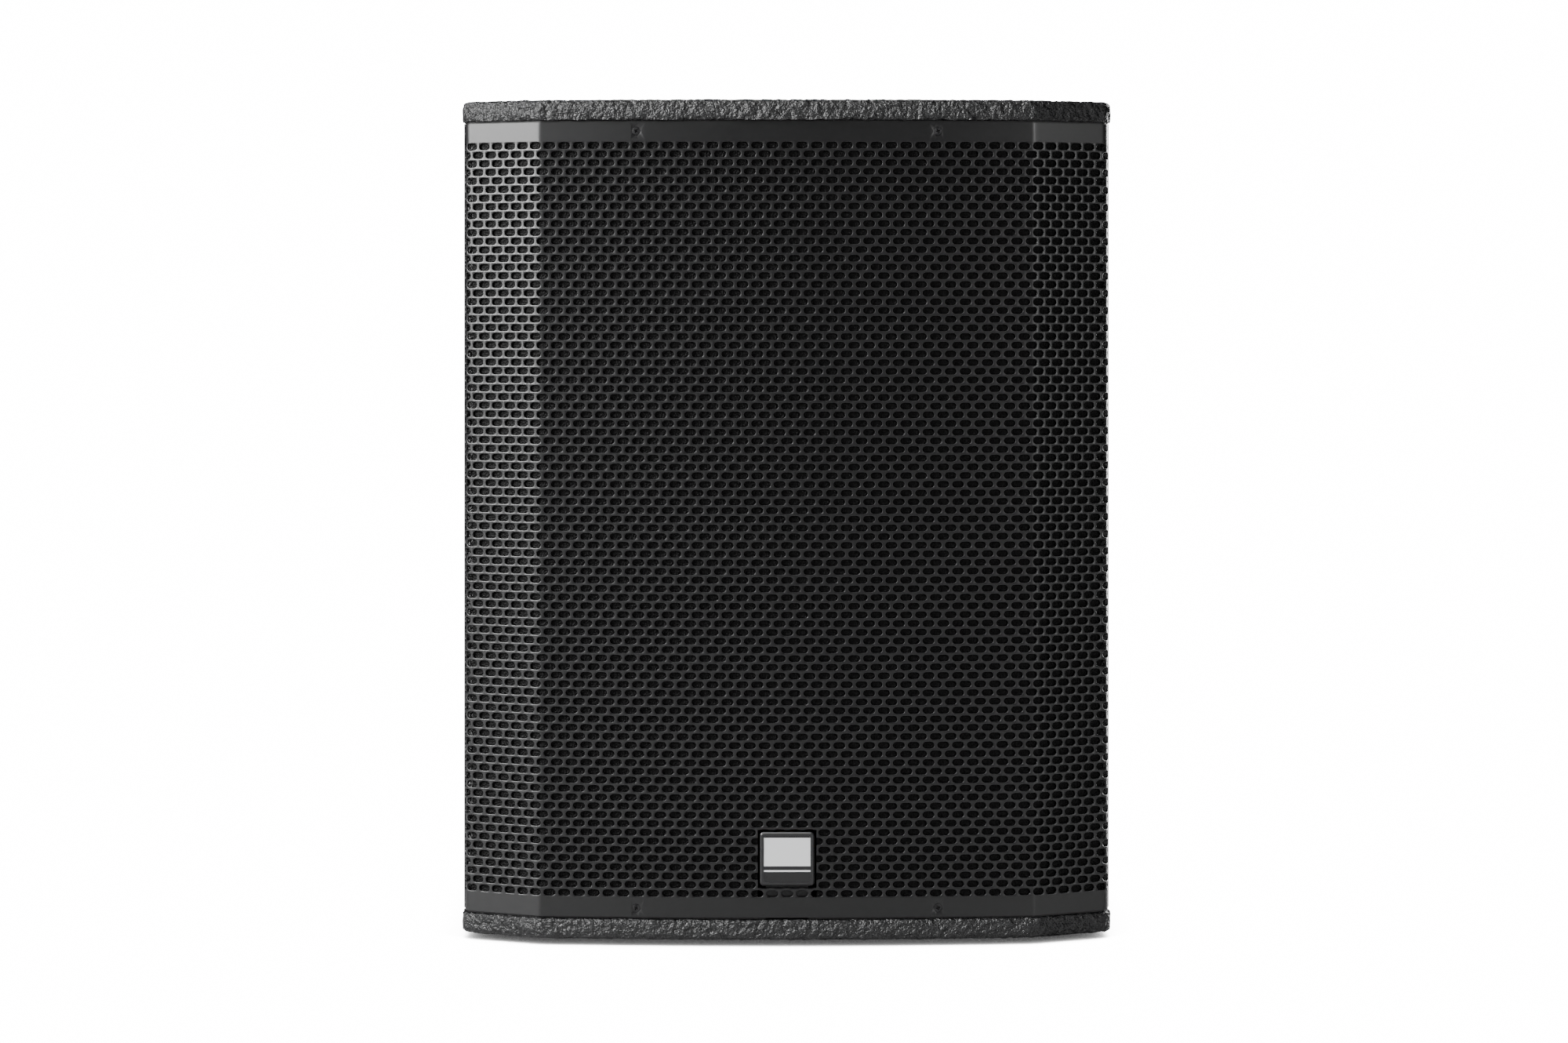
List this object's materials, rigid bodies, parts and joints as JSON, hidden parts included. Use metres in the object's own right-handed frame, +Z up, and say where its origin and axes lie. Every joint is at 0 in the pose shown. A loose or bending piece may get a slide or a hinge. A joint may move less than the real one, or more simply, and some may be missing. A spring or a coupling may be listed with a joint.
{
  "type": "pa speaker cabinet",
  "caption": "Floor-standing bass loudspeaker cabinet: painted plywood box, bowed perforated steel grille with angled corners, sprung woofer cone, side handles, pole cup and rear sockets.",
  "frame": {"origin": "on the floor under the middle of the object's box", "axes": "+Z up, the grille faces -Y, +X is the object's left side as it faces -Y, seen at the right from the front"},
  "size_m": [0.565, 0.6524, 0.724],
  "materials": {
    "painted_plywood": "satin",
    "raw_plywood": "matte",
    "grille_steel": "satin",
    "acoustic_foam": "matte",
    "black_screw_steel": "satin",
    "zinc_steel": "satin",
    "badge_plastic": "satin",
    "badge_print": "satin",
    "cast_frame": "matte",
    "gasket_rubber": "matte",
    "cone_paper": "matte",
    "doped_cloth": "matte",
    "spider_cloth": "matte",
    "former_fibreglass": "matte",
    "copper_wire": "satin",
    "motor_steel": "satin",
    "ferrite": "matte",
    "terminal_plastic": "matte",
    "brass": "satin",
    "handle_plastic": "matte",
    "grip_rubber": "matte",
    "pole_cup_steel": "satin",
    "dish_plastic": "matte",
    "socket_plastic": "satin",
    "circuit_board": "satin",
    "foot_rubber": "matte",
    "wadding_fibre": "matte",
    "wire_black": "satin",
    "wire_red": "satin",
    "clip_plastic": "satin"
  },
  "bodies": {
    "cabinet": {"top_board": "painted_plywood", "bottom_board": "painted_plywood", "side_left": "painted_plywood", "side_right": "painted_plywood", "back_panel": "painted_plywood", "baffle": "raw_plywood", "port_shelf": "raw_plywood", "port_divider": "raw_plywood", "window_brace": "raw_plywood", "batten_top": "raw_plywood", "batten_bottom": "raw_plywood", "grille": "grille_steel", "grille_foam": "acoustic_foam", "grille_screws": "black_screw_steel", "badge_frame": "badge_plastic", "badge_panel": "badge_print", "badge_bracket": "black_screw_steel", "badge_screws": "black_screw_steel", "woofer_basket": "cast_frame", "rear_gasket": "gasket_rubber", "front_gasket": "gasket_rubber", "surround": "doped_cloth", "spider": "spider_cloth", "top_plate": "motor_steel", "magnet": "ferrite", "yoke": "motor_steel", "terminal_block": "terminal_plastic", "terminal_posts": "brass", "tinsel_leads": "copper_wire", "woofer_bolts": "black_screw_steel", "tee_nuts": "zinc_steel", "handle_cup_left": "handle_plastic", "handle_cup_right": "handle_plastic", "handle_grip_left": "grip_rubber", "handle_grip_right": "grip_rubber", "handle_screws": "black_screw_steel", "pole_cup": "pole_cup_steel", "pole_screws": "black_screw_steel", "input_dish": "dish_plastic", "dish_screws": "black_screw_steel", "socket_left": "socket_plastic", "socket_right": "socket_plastic", "socket_cores": "socket_plastic", "socket_screws": "black_screw_steel", "socket_tabs": "brass", "link_board": "circuit_board", "feet": "foot_rubber", "foot_screws": "black_screw_steel", "wadding_left": "wadding_fibre", "wadding_right": "wadding_fibre", "wadding_back": "wadding_fibre", "wire_black": "wire_black", "wire_red": "wire_red", "wire_clips": "clip_plastic"},
    "moving_cone": {"cone": "cone_paper", "dust_cap": "cone_paper", "coil_former": "former_fibreglass", "voice_coil": "copper_wire"}
  },
  "joints": [
    {"name": "cone_slide", "type": "slide", "parent": "cabinet", "child": "moving_cone", "axis": [0, -1, 0], "range_m": [-0.008, 0.008], "stiffness_N_per_m": 8000, "deforming": ["surround", "spider", "tinsel_leads"]}
  ]
}
